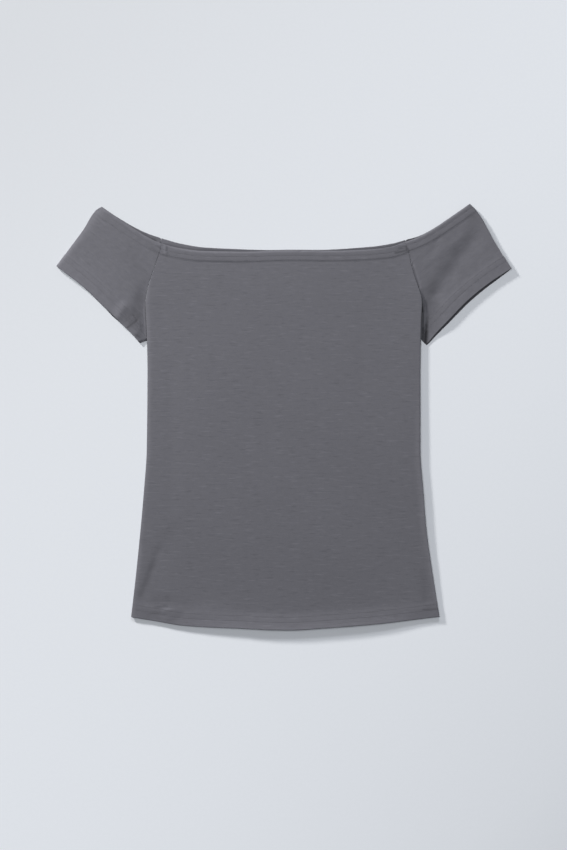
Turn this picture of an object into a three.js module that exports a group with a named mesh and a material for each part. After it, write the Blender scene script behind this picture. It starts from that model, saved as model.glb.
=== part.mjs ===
// A short-sleeved off-shoulder top in fine slub jersey, laid flat on its back. Four cut pieces: a front, a back and two
// short sleeves. Each sleeve is one piece folded along the outer arm and closed by a short seam at the underarm.
// The neckline, both cuffs and the bottom edge are turned under, so the cloth is thicker there.
// Sizes are in millimetres. x runs across the top from its centre front, y up towards the neck, z up from the surface.
import * as THREE from "three";

const CLOTH = 1.0; // one layer of jersey
const TURNED_UNDER = 0.5; // what a turned edge adds to it
const SEAM_GAP = 0.3;
const NECK_HEM = 13;
const CUFF_HEM = 19;
const BODY_HEM = 17.5;
const HEM_STEP = 2.4; // how far the inside raw edge takes to show through
const UNDERARM = 0.26; // where the armhole ends, as a share of the side from neckline to bottom edge
const FRONT_RIM = 2.3; // height of the side seam, where the front stops
const BACK_RIM = FRONT_RIM - SEAM_GAP;
const SIDE_ROUND = 1.6; // the least radius of a rounded side
const SIDE_REACH = { left: 12, right: 45 }; // how far each side's own height reaches towards the middle
const HEM_LIFT_REACH = 24;
const BACK_HEM_SHORT = 1.5; // the back's bottom edge lies this far inside the front's
const RISE_REACH = 34; // below the neckline, where the back's plan meets the front's again

const GREY = { colour: 0x66666c, roughness: 0.92 };
const GREY_INSIDE = { colour: 0x5e5e64, roughness: 0.95 };

// The sides of the front and back, from the neck fold down the armhole and the side seam to the bottom corner.
const LEFT_SIDE = [
  { y: 9.5, x: -153.1 },
  { y: -3.1, x: -156.1 },
  { y: -16.9, x: -160.9 },
  { y: -35.0, x: -167.0 },
  { y: -50.6, x: -171.4 },
  { y: -64.0, x: -173.4 },
  { y: -85.6, x: -172.4 },
  { y: -111.9, x: -171.3 },
  { y: -148.1, x: -170.6 },
  { y: -248.1, x: -171.6 },
  { y: -298.1, x: -175.0 },
  { y: -398.1, x: -184.4 },
  { y: -457.3, x: -191.1 },
];
const RIGHT_SIDE = [
  { y: 11.3, x: 151.0 },
  { y: -1.9, x: 155.8 },
  { y: -17.3, x: 159.0 },
  { y: -30.6, x: 162.7 },
  { y: -44.4, x: 167.6 },
  { y: -55.6, x: 171.3 },
  { y: -66.0, x: 172.5 },
  { y: -82.0, x: 171.6 },
  { y: -110.5, x: 170.7 },
  { y: -148.1, x: 170.2 },
  { y: -248.1, x: 170.1 },
  { y: -298.1, x: 173.8 },
  { y: -348.1, x: 177.8 },
  { y: -398.1, x: 184.8 },
  { y: -457.1, x: 194.0 },
];
// The front's neck fold, from the tip of one sleeve to the tip of the other.
const NECKLINE = [
  { x: -228.1, y: 55.6 },
  { x: -210.0, y: 43.1 },
  { x: -190.0, y: 29.5 },
  { x: -167.5, y: 15.9 },
  { x: -153.1, y: 9.3 },
  { x: -126.3, y: 2.9 },
  { x: -101.3, y: 0.1 },
  { x: -47.5, y: -0.7 },
  { x: 7.5, y: 0.8 },
  { x: 57.5, y: 0.3 },
  { x: 107.5, y: 2.1 },
  { x: 132.5, y: 5.2 },
  { x: 151.0, y: 11.3 },
  { x: 170.0, y: 18.7 },
  { x: 190.0, y: 30.2 },
  { x: 205.0, y: 40.3 },
  { x: 231.8, y: 58.9 },
];
// How far the back's neck fold lies above the front's.
const BACK_RISE = [
  { x: -215.0, rise: 0 },
  { x: -190.0, rise: 1.9 },
  { x: -180.0, rise: 3 },
  { x: -167.0, rise: 4.9 },
  { x: -154.0, rise: 6.7 },
  { x: -125.0, rise: 5.7 },
  { x: -95.0, rise: 4.3 },
  { x: -50.0, rise: 2.8 },
  { x: -5.0, rise: 1 },
  { x: 40.0, rise: 1.1 },
  { x: 70.0, rise: 2.1 },
  { x: 115.0, rise: 3.4 },
  { x: 130.0, rise: 3.7 },
  { x: 151.0, rise: 2.5 },
  { x: 170.0, rise: 0.7 },
  { x: 190.0, rise: 0 },
];
const HEM = [
  { x: -191.1, y: -457.3, lift: -0.3 },
  { x: -160.0, y: -462.4, lift: 0 },
  { x: -130.0, y: -467.4, lift: 0.3 },
  { x: -92.5, y: -469.8, lift: 1.6 },
  { x: -55.0, y: -471.1, lift: 2.8 },
  { x: -17.5, y: -472.9, lift: 3.3 },
  { x: 7.5, y: -473.2, lift: 3.3 },
  { x: 45.0, y: -471.1, lift: 3.3 },
  { x: 120.0, y: -465.3, lift: 2.5 },
  { x: 157.5, y: -461.0, lift: 1.4 },
  { x: 193.8, y: -456.6, lift: 0.1 },
];
// Heights of the front's outside down the body: along the middle, on the rounded sides, and how far the side rolls under.
const BODY_HEIGHTS = [
  { down: 0, middle: 4.0, left: 3.8, right: 3.8, roll: 0 },
  { down: 20, middle: 4.0, left: 3.8, right: 3.8, roll: 0 },
  { down: 38, middle: 4.1, left: 4.0, right: 4.0, roll: 0 },
  { down: 50, middle: 4.3, left: 4.3, right: 4.4, roll: 0.3 },
  { down: 64, middle: 4.5, left: 4.8, right: 4.9, roll: 0.9 },
  { down: 74, middle: 4.6, left: 4.9, right: 5.1, roll: 1 },
  { down: 121, middle: 4.8, left: 5.0, right: 5.5, roll: 1 },
  { down: 200, middle: 4.8, left: 5.0, right: 5.6, roll: 1 },
  { down: 250, middle: 4.8, left: 4.9, right: 5.2, roll: 1 },
  { down: 350, middle: 4.5, left: 4.4, right: 4.8, roll: 1 },
  { down: 420, middle: 3.7, left: 3.6, right: 4.3, roll: 1 },
  { down: 475, middle: 3.2, left: 3.1, right: 3.6, roll: 1 },
];
// Soft ridges (height over 0) and troughs (under 0), each along a straight stretch.
const BODY_FOLDS = [
  { fromX: -140.6, fromY: -356.4, toX: -179.4, toY: -423.1, height: -0.8, width: 9 },
  { fromX: -105.6, fromY: -16.9, toX: -49.4, toY: -20.6, height: -0.3, width: 6 },
  { fromX: -141.0, fromY: -148.0, toX: -140.0, toY: -320.0, height: -0.35, width: 9 },
  { fromX: -164.0, fromY: -434.0, toX: -124.0, toY: -442.0, height: -0.35, width: 6 },
];
const LEFT_FOLDS = [
  { fromX: -206.5, fromY: -81.0, toX: -200.0, toY: -70.0, height: 1.3, width: 6 },
  { fromX: -196.5, fromY: -90.0, toX: -190.5, toY: -78.5, height: -0.5, width: 5 },
];
const RIGHT_FOLDS = [
  { fromX: 247.0, fromY: 32.0, toX: 236.0, toY: 13.0, height: -0.6, width: 9 },
  { fromX: 236.0, fromY: 13.0, toX: 221.0, toY: -6.0, height: -1.1, width: 10 },
  { fromX: 221.0, fromY: -6.0, toX: 207.0, toY: -27.0, height: -1.3, width: 11 },
  { fromX: 207.0, fromY: -27.0, toX: 189.0, toY: -52.0, height: -1.1, width: 10 },
  { fromX: 190.0, fromY: -54.0, toX: 186.0, toY: -78.0, height: -0.8, width: 8 },
  { fromX: 238.0, fromY: -8.0, toX: 199.0, toY: -57.0, height: -0.8, width: 17 },
];
const LEFT_SLEEVE = {
  side: LEFT_SIDE,
  outward: -1,
  tip: { x: -228.1, y: 55.6 },
  fold: [
    { x: -228.1, y: 55.6 },
    { x: -235.3, y: 50.8 },
    { x: -251.1, y: 26.4 },
    { x: -269.7, y: 1.1 },
    { x: -284.2, y: -19.1 },
  ],
  cuff: [
    { x: -180.3, y: -115.3 },
    { x: -189.3, y: -104.5 },
    { x: -209.3, y: -84.5 },
    { x: -229.3, y: -65.0 },
    { x: -249.4, y: -45.6 },
    { x: -284.2, y: -19.1 },
  ],
  cuffPeek: 0.6, // how far the back of the cuff shows past the front
  foldHeight: 3.4,
  folds: LEFT_FOLDS,
  tuck: [
    { y: -34.0, at: 12, width: 24, depth: 0 },
    { y: -60.0, at: 12, width: 24, depth: 0.7 },
    { y: -78.0, at: 11, width: 22, depth: 1 },
    { y: -120.0, at: 8, width: 18, depth: 0.9 },
  ],
};
const RIGHT_SLEEVE = {
  side: RIGHT_SIDE,
  outward: 1,
  tip: { x: 231.8, y: 58.9 },
  fold: [
    { x: 231.8, y: 58.9 },
    { x: 237.6, y: 53.4 },
    { x: 248.5, y: 38.0 },
    { x: 261.6, y: 13.6 },
    { x: 283.3, y: -22.3 },
  ],
  cuff: [
    { x: 177.6, y: -117.2 },
    { x: 187.8, y: -104.8 },
    { x: 204.7, y: -87.0 },
    { x: 229.5, y: -61.6 },
    { x: 256.2, y: -40.0 },
    { x: 283.3, y: -22.3 },
  ],
  cuffPeek: 2.9,
  foldHeight: 5.4,
  folds: RIGHT_FOLDS,
  tuck: [
    { y: -46.0, at: 10, width: 20, depth: 0 },
    { y: -61.5, at: 12, width: 22, depth: 0.75 },
    { y: -71.5, at: 15.5, width: 25, depth: 1 },
    { y: -82.0, at: 18, width: 28, depth: 1 },
    { y: -101.0, at: 19, width: 28, depth: 1 },
    { y: -120.0, at: 17, width: 26, depth: 1 },
  ],
};
// Heights of a sleeve's outside, from the underarm (0) round the front to the fold along the outer arm (1).
const SLEEVE_HEIGHTS = [
  { round: 0, seam: 4.2, cuff: 4.2 },
  { round: 0.25, seam: 4.0, cuff: 4.6 },
  { round: 0.45, seam: 3.9, cuff: 4.8 },
  { round: 0.58, seam: 3.8, cuff: 4.8 },
  { round: 0.8, seam: 4.0, cuff: 4.6 },
  { round: 1, seam: 4.4, cuff: 4.6 },
];
const NECK_SEAM_AT = 0.58; // where the armhole gives way to the neckline, going round a sleeve
const UNDERARM_HEIGHT = 2.6;
const TUCK_HEIGHT = 2.2; // a sleeve beside the underarm, where it goes down beside the body
const SLEEVE_LENGTHS = { seam: 200, cuff: 145 }; // round the front half, along the body end and along the cuff
const FOLD_REACH = 15;

const clamp = (t) => Math.min(1, Math.max(0, t));
const mix = (a, b, t) => a + (b - a) * t;
const smooth = (t) => clamp(t) ** 2 * (3 - 2 * clamp(t));
const bell = (t) => Math.exp(-t * t);

// The slope at each row of a table, chosen so that the curve through the rows never overshoots them.
function slopes(xs, ys) {
  const steps = xs.slice(1).map((x, i) => (ys[i + 1] - ys[i]) / (x - xs[i]));
  return xs.map((_, i) => {
    if (i === 0) return steps[0];
    if (i === xs.length - 1) return steps[i - 1];
    const [before, after] = [steps[i - 1], steps[i]];
    return before * after <= 0 ? 0 : (2 * before * after) / (before + after);
  });
}

// Reads one column of a table as a smooth function of another.
function column(rows, from, to) {
  const sorted = [...rows].sort((a, b) => a[from] - b[from]);
  const xs = sorted.map((row) => row[from]);
  const ys = sorted.map((row) => row[to]);
  const slope = slopes(xs, ys);
  return (x) => {
    const at = Math.min(xs[xs.length - 1], Math.max(xs[0], x));
    const i = Math.min(xs.length - 2, Math.max(0, xs.findIndex((edge) => edge >= at) - 1));
    const width = xs[i + 1] - xs[i];
    const t = (at - xs[i]) / width;
    const startWeight = (1 + 2 * t) * (1 - t) ** 2;
    const startSlope = t * (1 - t) ** 2 * width;
    const endSlope = t * t * (t - 1) * width;
    return ys[i] * startWeight + ys[i + 1] * (1 - startWeight) + slope[i] * startSlope + slope[i + 1] * endSlope;
  };
}

function curveThrough(rows) {
  const points = rows.map(({ x, y }) => new THREE.Vector3(x, y, 0));
  return new THREE.CatmullRomCurve3(points, false, "centripetal");
}

function foldsAt(folds, x, y) {
  return folds.reduce((sum, fold) => {
    const [dx, dy] = [fold.toX - fold.fromX, fold.toY - fold.fromY];
    const t = clamp(((x - fold.fromX) * dx + (y - fold.fromY) * dy) / (dx * dx + dy * dy));
    const away = Math.hypot(x - fold.fromX - dx * t, y - fold.fromY - dy * t);
    return sum + fold.height * bell(away / fold.width);
  }, 0);
}

// 1 on a turned edge, 0 beyond it.
const turned = (distance, hem) => clamp((hem + HEM_STEP / 2 - distance) / HEM_STEP);

const neckY = column(NECKLINE, "x", "y");
const backRise = column(BACK_RISE, "x", "rise");
const hemY = column(HEM, "x", "y");
const hemLift = column(HEM, "x", "lift");
const sideX = { left: column(LEFT_SIDE, "y", "x"), right: column(RIGHT_SIDE, "y", "x") };
const ends = (side) => ({ top: side[0], bottom: side[side.length - 1] });

// A point of a side at a share of the way from the neck fold to the bottom corner.
function sidePoint(side, share) {
  const { top, bottom } = ends(side);
  const y = mix(top.y, bottom.y, share);
  return { x: (side === LEFT_SIDE ? sideX.left : sideX.right)(y), y };
}

// Where a point of the front lies in plan: share u across from left to right, share v down from neckline to bottom edge.
function frontPlan(u, v) {
  const [left, right] = [sidePoint(LEFT_SIDE, v), sidePoint(RIGHT_SIDE, v)];
  const topX = mix(ends(LEFT_SIDE).top.x, ends(RIGHT_SIDE).top.x, u);
  const bottomX = mix(ends(LEFT_SIDE).bottom.x, ends(RIGHT_SIDE).bottom.x, u);
  const [top, bottom] = [neckY(topX), hemY(bottomX)];
  return { x: mix(left.x, right.x, u), y: mix(top, bottom, v), down: (top - bottom) * v, up: (top - bottom) * (1 - v) };
}

const ROLL_SHARE = 0.1; // the part of the across measure that each rounded side takes
const heights = Object.fromEntries(
  ["middle", "left", "right", "roll"].map((name) => [name, column(BODY_HEIGHTS, "down", name)]),
);

// The cross-section near a side: a quarter circle up from the seam, or level where the roll is 0.
function rolled(step, radius, rim, top, roll) {
  const angle = (step * Math.PI) / 2;
  return {
    inset: mix(radius * step, radius * (1 - Math.cos(angle)), roll),
    z: mix(top, mix(rim, top, Math.sin(angle)), roll),
  };
}

function frontHem(place) {
  return Math.max(turned(place.down, NECK_HEM), turned(place.up, BODY_HEM));
}

// The front's outside: across runs 0 to 1 from the left side seam to the right one.
function frontSurface(across, v) {
  const width = sidePoint(RIGHT_SIDE, v).x - sidePoint(LEFT_SIDE, v).x;
  const place = (inset) => frontPlan(inset / width, v);
  const level = (at) => {
    const lift = hemLift(at.x) * clamp(1 - at.up / HEM_LIFT_REACH) ** 1.75;
    return heights.middle(at.down) + lift + foldsAt(BODY_FOLDS, at.x, at.y);
  };
  const thick = TURNED_UNDER * frontHem(place(width / 2));
  const sides = ["left", "right"].map((name) => {
    const at = place(name === "left" ? 0 : width);
    const top = heights[name](at.down);
    return { top, roll: heights.roll(at.down), radius: Math.max(top + thick - FRONT_RIM, SIDE_ROUND) };
  });
  const [left, right] = sides;
  const fromRight = across > 0.5;
  const near = fromRight ? right : left;
  const edge = fromRight ? 1 - across : across;
  let inset;
  let z;
  if (edge < ROLL_SHARE) {
    ({ inset, z } = rolled(edge / ROLL_SHARE, near.radius, FRONT_RIM, near.top + thick, near.roll));
    if (fromRight) inset = width - inset;
  } else {
    const share = (across - ROLL_SHARE) / (1 - 2 * ROLL_SHARE);
    inset = mix(left.radius, width - right.radius, share);
    const at = place(inset);
    const here = level(at);
    const [fromLeft, toRight] = [inset - left.radius, width - right.radius - inset];
    const nearLeft = (left.top - here) * bell(fromLeft / SIDE_REACH.left);
    const nearRight = (right.top - here) * bell(toRight / SIDE_REACH.right);
    z = here + nearLeft + nearRight + TURNED_UNDER * frontHem(at);
  }
  const at = place(inset);
  return new THREE.Vector3(at.x, at.y, z);
}

function backPlace(u, v) {
  const at = frontPlan(u, v);
  at.y += backRise(at.x) * (1 - smooth(at.down / RISE_REACH));
  at.y += BACK_HEM_SHORT * (1 - smooth(at.up / BODY_HEM));
  return at;
}

// The back's outside, which lies on the surface and curls up to the side seams below the armholes.
function backSurface(across, v) {
  const width = sidePoint(RIGHT_SIDE, v).x - sidePoint(LEFT_SIDE, v).x;
  const curl = smooth((v - UNDERARM) / 0.03);
  const fromRight = across > 0.5;
  const edge = fromRight ? 1 - across : across;
  let inset = mix(BACK_RIM, width / 2, (edge - ROLL_SHARE) / (0.5 - ROLL_SHARE));
  let z = 0;
  if (edge < ROLL_SHARE) {
    const step = rolled(edge / ROLL_SHARE, BACK_RIM, BACK_RIM, 0, curl);
    [inset, z] = [step.inset, step.z];
  }
  const at = backPlace((fromRight ? width - inset : inset) / width, v);
  return new THREE.Vector3(at.x, at.y, z);
}

// Turns a surface and its thickness into a closed wall. A ring's across measure wraps round from 1 to 0.
function clothWall(surface, across, along, thickness, { ring = false, outwards = 1 } = {}) {
  const small = 1e-4;
  const inside = (t) => (ring ? t : clamp(t));
  const outer = [];
  const inner = [];
  for (const a of across) {
    for (const b of along) {
      const point = surface(a, b);
      const acrossStep = surface(inside(a + small), b).sub(surface(inside(a - small), b));
      const alongStep = surface(a, clamp(b + small)).sub(surface(a, clamp(b - small)));
      const normal = acrossStep.cross(alongStep).normalize().multiplyScalar(-outwards);
      outer.push(point);
      inner.push(point.clone().addScaledVector(normal, -thickness(a, b)));
    }
  }
  const [columns, rows] = [across.length, along.length];
  const index = (i, j, layer) => layer * columns * rows + (i % columns) * rows + j;
  const faces = [];
  const quad = (a, b, c, d) => faces.push(...(outwards > 0 ? [a, b, c, a, c, d] : [a, c, b, a, d, c]));
  const last = ring ? columns : columns - 1;
  for (let i = 0; i < last; i++) {
    for (let j = 0; j < rows - 1; j++) {
      quad(index(i, j, 0), index(i, j + 1, 0), index(i + 1, j + 1, 0), index(i + 1, j, 0));
      quad(index(i, j, 1), index(i + 1, j, 1), index(i + 1, j + 1, 1), index(i, j + 1, 1));
    }
    quad(index(i, 0, 0), index(i + 1, 0, 0), index(i + 1, 0, 1), index(i, 0, 1));
    quad(index(i + 1, rows - 1, 0), index(i, rows - 1, 0), index(i, rows - 1, 1), index(i + 1, rows - 1, 1));
  }
  for (let j = 0; j < rows - 1 && !ring; j++) {
    quad(index(0, j + 1, 0), index(0, j, 0), index(0, j, 1), index(0, j + 1, 1));
    quad(index(last, j, 0), index(last, j + 1, 0), index(last, j + 1, 1), index(last, j, 1));
  }
  const geometry = new THREE.BufferGeometry().setFromPoints([...outer, ...inner]);
  geometry.setIndex(faces);
  geometry.computeVertexNormals();
  return geometry;
}

const spread = (from, to, count) => Array.from({ length: count }, (_, i) => mix(from, to, i / (count - 1)));
const SIDE_LENGTH = ends(LEFT_SIDE).top.y - ends(LEFT_SIDE).bottom.y;

// Shares of the side at which the pieces have rows. The armhole rows are common to the body and the sleeves.
const ARMHOLE_ROWS = [0, 12.6, 16, 26, 38, 50, 62, 74, 86, 98, 110].map((down) => down / SIDE_LENGTH).concat(UNDERARM);
const HEM_ROWS = [32, 26, 19.2, 15.8, 7, 0].map((up) => 1 - up / SIDE_LENGTH);
const BODY_ROWS = [...ARMHOLE_ROWS, ...spread(UNDERARM + 0.03, 0.9, 14), ...HEM_ROWS];
const BACK_ROWS = [...ARMHOLE_ROWS, ...spread(UNDERARM + 0.03, 0.9, 6), ...HEM_ROWS.slice(2)];

function acrossBody(rollSteps, nearSide, middle) {
  const roll = spread(0, ROLL_SHARE, rollSteps);
  const share = (f) => mix(ROLL_SHARE, 1 - ROLL_SHARE, f);
  const half = [...roll, ...nearSide.map(share)];
  const centre = spread(nearSide[nearSide.length - 1], 1 - nearSide[nearSide.length - 1], middle).slice(1, -1);
  return [...half, ...centre.map(share), ...half.map((a) => 1 - a).reverse()];
}

const bodyThickness = (plan, across, v) => {
  const at = plan(clamp((across - ROLL_SHARE) / (1 - 2 * ROLL_SHARE)), v);
  return CLOTH + TURNED_UNDER * frontHem(at);
};

function frontPanel() {
  const across = acrossBody(5, [0.015, 0.035, 0.06, 0.09], 15);
  return clothWall(frontSurface, across, BODY_ROWS, (a, v) => bodyThickness(frontPlan, a, v), { outwards: 1 });
}

function backPanel() {
  const across = acrossBody(4, [0.03, 0.09], 9);
  return clothWall(backSurface, across, BACK_ROWS, (a, v) => bodyThickness(frontPlan, a, v), { outwards: -1 });
}

const ROUND = { underarm: 0.06, front: 0.44, fold: 0.56, back: 0.94 }; // where the parts of a sleeve's ring end
const sleeveSeam = column(SLEEVE_HEIGHTS, "round", "seam");
const sleeveCuff = column(SLEEVE_HEIGHTS, "round", "cuff");

// A sleeve in plan: share w from the underarm to the fold, share v from the body end to the cuff.
function sleevePlan(sleeve) {
  const cuff = curveThrough(sleeve.cuff);
  const fold = curveThrough(sleeve.fold);
  const seamTop = ends(sleeve.side).top;
  return (w, v, isBack) => {
    const { x, y } = sleeveBodyEnd(sleeve, seamTop, clamp(w));
    const rise = isBack ? backRise(x) * smooth(w / NECK_SEAM_AT) ** 4 : 0;
    const end = cuff.getPointAt(clamp(w));
    if (isBack) {
      const onward = cuff.getTangentAt(clamp(w));
      const peek = sleeve.outward * sleeve.cuffPeek * Math.sin(Math.PI * clamp(w)) ** 0.6;
      end.x += peek * onward.y;
      end.y -= peek * onward.x;
    }
    // Near the fold the plan follows the fold's own slight bow instead of a straight line.
    const bow = fold.getPointAt(v);
    const straight = { x: mix(sleeve.fold[0].x, end.x, v), y: mix(sleeve.fold[0].y, end.y, v) };
    const pull = smooth((w - 0.8) / 0.2);
    const start = { x, y: y + rise };
    return {
      x: mix(start.x, end.x, v) + pull * (bow.x - straight.x),
      y: mix(start.y, end.y, v) + pull * (bow.y - straight.y),
      length: Math.hypot(end.x - start.x, end.y - start.y),
    };
  };
}

// The end that is sewn to the body up to the neck seam, and is turned under along the neckline from there to the tip.
function sleeveBodyEnd(sleeve, seamTop, w) {
  if (w <= NECK_SEAM_AT) {
    const at = sidePoint(sleeve.side, UNDERARM * (1 - w / NECK_SEAM_AT));
    return { x: at.x + sleeve.outward * SEAM_GAP * 1.15, y: at.y };
  }
  const share = (w - NECK_SEAM_AT) / (1 - NECK_SEAM_AT);
  const x = mix(seamTop.x + sleeve.outward * SEAM_GAP * 1.15, sleeve.tip.x, share);
  return { x, y: neckY(x) };
}

function sleeveHem(w, v, length) {
  const onNeck = w > NECK_SEAM_AT - 1e-6 ? turned(v * length, NECK_HEM) : 0;
  return Math.max(onNeck, turned((1 - v) * length, CUFF_HEM));
}

function sleeveSurface(sleeve) {
  const plan = sleevePlan(sleeve);
  const bodyX = sleeve.outward < 0 ? sideX.left : sideX.right;
  const tuck = Object.fromEntries(["at", "width", "depth"].map((name) => [name, column(sleeve.tuck, "y", name)]));
  return (around, v) => {
    const turn = (around + 1) % 1;
    const isBack = turn > (ROUND.front + ROUND.fold) / 2;
    const run = mix(SLEEVE_LENGTHS.seam, SLEEVE_LENGTHS.cuff, v);
    const underRadius = (UNDERARM_HEIGHT + TURNED_UNDER) / 2;
    const foldRadius = sleeve.foldHeight / 2;
    const wFrom = underRadius / run;
    const wTo = 1 - foldRadius / run;
    const onUnder = turn < ROUND.underarm || turn > ROUND.back;
    if (onUnder) {
      const angle = ((turn < 0.5 ? turn : turn - 1) / ROUND.underarm) * (Math.PI / 2);
      const at = plan(wFrom * (1 - Math.cos(angle)), v, isBack);
      return new THREE.Vector3(at.x, at.y, underRadius * (1 + Math.sin(angle)));
    }
    if (turn > ROUND.front && turn < ROUND.fold) {
      const angle = Math.PI * (0.5 - (turn - ROUND.front) / (ROUND.fold - ROUND.front));
      const at = plan(1 - (foldRadius / run) * (1 - Math.cos(angle)), v, isBack);
      return new THREE.Vector3(at.x, at.y, foldRadius * (1 + Math.sin(angle)));
    }
    const share = isBack
      ? (ROUND.back - turn) / (ROUND.back - ROUND.fold)
      : (turn - ROUND.underarm) / (ROUND.front - ROUND.underarm);
    const w = mix(wFrom, wTo, share);
    const at = plan(w, v, isBack);
    if (isBack) return new THREE.Vector3(at.x, at.y, 0);
    const level = mix(sleeveSeam(w), sleeveCuff(w), smooth(v)) + foldsAt(sleeve.folds, at.x, at.y);
    const thick = CLOTH + TURNED_UNDER * sleeveHem(w, v, at.length);
    const here = level - CLOTH + thick;
    const nearUnder = bell((w - wFrom) * run * 0.12);
    const nearFold = (1 - clamp(((wTo - w) * run) / FOLD_REACH)) ** 3;
    const beside = (at.x - bodyX(at.y)) * sleeve.outward;
    const tucked = (1 - smooth((beside - tuck.at(at.y)) / tuck.width(at.y) + 0.5)) * tuck.depth(at.y);
    let z = here + (sleeve.foldHeight - here) * nearFold;
    z += (TUCK_HEIGHT - z) * tucked;
    z += (2 * underRadius - z) * nearUnder;
    return new THREE.Vector3(at.x, at.y, Math.max(z, 2 * thick + 0.15));
  };
}

function sleeve(shape) {
  const surface = sleeveSurface(shape);
  const plan = sleevePlan(shape);
  const under = spread(0, ROUND.underarm, 3).slice(0, -1);
  const toRound = (w) => {
    const [from, to] = [UNDERARM_HEIGHT / 2 / SLEEVE_LENGTHS.seam, 1 - shape.foldHeight / 2 / SLEEVE_LENGTHS.seam];
    return mix(ROUND.underarm, ROUND.front, clamp((w - from) / (to - from)));
  };
  const armhole = ARMHOLE_ROWS.slice(1, -1).map((row) => (1 - row / UNDERARM) * NECK_SEAM_AT).reverse();
  const neck = spread(NECK_SEAM_AT, 0.96, 7);
  const front = [ROUND.underarm, ...[...armhole, ...neck].map(toRound), ROUND.front];
  const fold = spread(ROUND.front, ROUND.fold, 7).slice(1, -1);
  const back = front.map((turn) => mix(ROUND.back, ROUND.fold, (turn - ROUND.underarm) / (ROUND.front - ROUND.underarm)));
  const round = [...under, ...front, ...fold, ...back.reverse(), ...under.slice(1).map((turn) => 1 - turn).reverse()];
  const along = [0, 0.15, 0.19, 0.3, 0.42, 0.54, 0.66, 0.74, 0.79, 0.9, 1];
  const thickness = (turn, v) => {
    const w = turn < 0.5 ? (turn - ROUND.underarm) / 0.38 : (ROUND.back - turn) / 0.38;
    return CLOTH + TURNED_UNDER * sleeveHem(clamp(w), v, plan(clamp(w), v, turn > 0.5).length);
  };
  return clothWall(surface, round, along, thickness, { ring: true, outwards: shape.outward });
}

function piece(name, geometry, { colour, roughness }) {
  const material = new THREE.MeshStandardMaterial({ color: colour, roughness, metalness: 0 });
  const mesh = new THREE.Mesh(geometry, material);
  mesh.name = name;
  return mesh;
}

const top = new THREE.Group();
top.add(piece("front_panel", frontPanel(), GREY));
top.add(piece("back_panel", backPanel(), GREY_INSIDE));
top.add(piece("left_sleeve", sleeve(LEFT_SLEEVE), GREY));
top.add(piece("right_sleeve", sleeve(RIGHT_SLEEVE), GREY));

// The origin is the middle of the outline, on the surface that the top lies on.
const box = new THREE.Box3().setFromObject(top);
const middle = box.getCenter(new THREE.Vector3());
top.position.set(-middle.x, -middle.y, -box.min.z);

export default top;
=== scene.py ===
"""A short-sleeved off-shoulder top in slub jersey, laid flat on its back.

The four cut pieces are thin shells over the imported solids, with their edges turned under and
sewn with a twin needle. Soft light comes from the upper left. Sizes in the tables are millimetres
in the top's own plan: x across from the centre front, y up from the middle of the neckline.
"""

import math

import bmesh
import bpy
import numpy as np
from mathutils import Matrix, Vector


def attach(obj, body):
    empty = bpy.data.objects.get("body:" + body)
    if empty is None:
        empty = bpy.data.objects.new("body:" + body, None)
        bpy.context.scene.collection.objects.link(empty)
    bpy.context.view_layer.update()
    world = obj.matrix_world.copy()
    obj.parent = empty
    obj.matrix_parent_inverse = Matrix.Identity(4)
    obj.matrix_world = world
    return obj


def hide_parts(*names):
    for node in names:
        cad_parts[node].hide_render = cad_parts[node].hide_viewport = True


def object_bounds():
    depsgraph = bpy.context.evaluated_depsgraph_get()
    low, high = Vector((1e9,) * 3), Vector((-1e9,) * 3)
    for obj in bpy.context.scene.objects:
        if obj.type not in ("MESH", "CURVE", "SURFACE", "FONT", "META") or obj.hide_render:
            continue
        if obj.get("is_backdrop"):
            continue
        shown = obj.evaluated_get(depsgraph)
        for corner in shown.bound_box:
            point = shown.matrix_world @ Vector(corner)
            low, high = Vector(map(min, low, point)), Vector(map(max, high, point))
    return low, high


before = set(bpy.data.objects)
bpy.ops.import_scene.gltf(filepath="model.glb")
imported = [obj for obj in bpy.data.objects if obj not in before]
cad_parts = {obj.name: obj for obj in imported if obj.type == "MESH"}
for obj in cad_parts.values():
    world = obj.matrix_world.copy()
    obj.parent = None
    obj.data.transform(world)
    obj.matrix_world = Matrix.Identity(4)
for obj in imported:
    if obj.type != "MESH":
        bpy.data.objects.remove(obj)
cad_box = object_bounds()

MM = 0.001
MIDDLE = np.array([-0.6, -207.5, 0])  # the frame's origin, in the top's own plan


def placed(name, data):
    """A new object in the scene."""
    made = bpy.data.objects.new(name, data)
    bpy.context.scene.collection.objects.link(made)
    return made


# Camera and light

CAMERA_PLACE = (-0.00015, -0.0098, 2.509)  # straight above the top
camera_data = bpy.data.cameras.new("camera")
camera_data.lens = 85
camera_data.sensor_width = 36
camera = placed("camera", camera_data)
camera.location = CAMERA_PLACE
bpy.context.scene.camera = camera
bpy.context.scene.view_settings.view_transform = "Standard"
bpy.context.scene.view_settings.look = "None"

KEY_AWAY = Vector((-0.68, 0.733, 0))  # level direction towards the key light
AIM = Vector((0, 0, 0))  # the middle of the top
WARM, COOL = (1.0, 0.985, 0.955), (0.97, 0.985, 1.0)


def area_light(name, watts, size, place, colour):
    """A round soft light that looks at the middle of the top."""
    data = bpy.data.lights.new(name, "AREA")
    data.shape = "DISK"
    data.energy, data.size, data.color = watts, size, colour
    light = placed(name, data)
    light.location = place
    light.rotation_mode = "QUATERNION"
    light.rotation_quaternion = (AIM - Vector(place)).to_track_quat("-Z", "Y")
    return light


area_light("key_light", 56, 0.30, KEY_AWAY * 2.25 + Vector((0, 0, 0.86)), WARM)
area_light("soft_overhead_light", 25.5, 1.1, (-0.45, 0.30, 2.7), COOL)
top_light = area_light("top_light", 46, 0.65, (0, 3.1, 2.0), COOL)

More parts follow.
